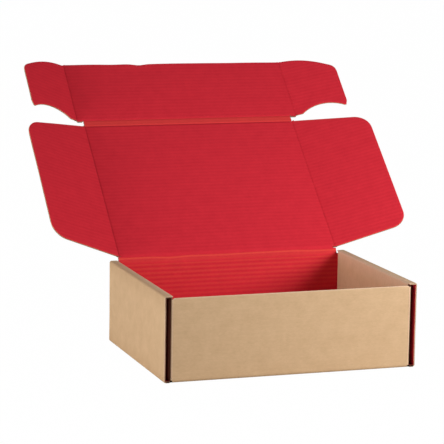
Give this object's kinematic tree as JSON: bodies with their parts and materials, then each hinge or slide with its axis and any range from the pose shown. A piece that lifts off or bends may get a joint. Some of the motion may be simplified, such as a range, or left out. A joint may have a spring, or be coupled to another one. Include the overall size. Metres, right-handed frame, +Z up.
{
  "type": "corrugated mailer box",
  "caption": "Open roll-end mailer box of corrugated board, kraft outside and plain red inside, with a lid, side flaps, a tuck flap and locking ears.",
  "frame": {"origin": "middle of the tray's underside, on the surface that the box stands on", "axes": "+X to the right along the front wall, +Y from the front wall to the hinge, +Z up"},
  "size_m": [0.5005, 0.5044, 0.3501],
  "materials": {
    "kraft_board": "matte",
    "red_board": "matte"
  },
  "bodies": {
    "tray": {"tray": "kraft_board"},
    "lid": {"lid_panel": "red_board"},
    "left_side_flap": {"left_side_flap": "red_board"},
    "right_side_flap": {"right_side_flap": "red_board"},
    "front_strip": {"front_strip": "red_board"},
    "tuck_flap": {"tuck_flap": "red_board"},
    "left_ear": {"left_ear": "red_board"},
    "right_ear": {"right_ear": "red_board"}
  },
  "joints": [
    {"name": "lid_hinge", "type": "hinge", "parent": "tray", "child": "lid", "pos_m": [0, 0.12025, 0.10955], "axis": [-1, 0, 0], "range_deg": [-91, 41]},
    {"name": "left_flap_crease", "type": "hinge", "parent": "lid", "child": "left_side_flap", "pos_m": [-0.1533, 0.12025, 0.10955], "axis": [0, -0.7547, -0.6561], "range_deg": [-64.5, 40]},
    {"name": "right_flap_crease", "type": "hinge", "parent": "lid", "child": "right_side_flap", "pos_m": [0.1533, 0.12025, 0.10955], "axis": [0, 0.7547, 0.6561], "range_deg": [-69, 40]},
    {"name": "strip_crease", "type": "hinge", "parent": "lid", "child": "front_strip", "pos_m": [0, 0.29687, 0.26309], "axis": [-1, 0, 0], "range_deg": [-17, 5]},
    {"name": "tuck_crease", "type": "hinge", "parent": "front_strip", "child": "tuck_flap", "pos_m": [0, 0.30472, 0.26991], "axis": [-1, 0, 0], "range_deg": [-57, 16]},
    {"name": "left_ear_crease", "type": "hinge", "parent": "tuck_flap", "child": "left_ear", "pos_m": [-0.16215, 0.30472, 0.26991], "axis": [0, -0.7373, -0.6756], "range_deg": [-62, 37]},
    {"name": "right_ear_crease", "type": "hinge", "parent": "tuck_flap", "child": "right_ear", "pos_m": [0.16215, 0.30472, 0.26991], "axis": [0, 0.7373, 0.6756], "range_deg": [-73, 37]}
  ],
  "couplings": [
    {"joint": "strip_crease", "follows": "tuck_crease", "ratio": 0.29197}
  ]
}
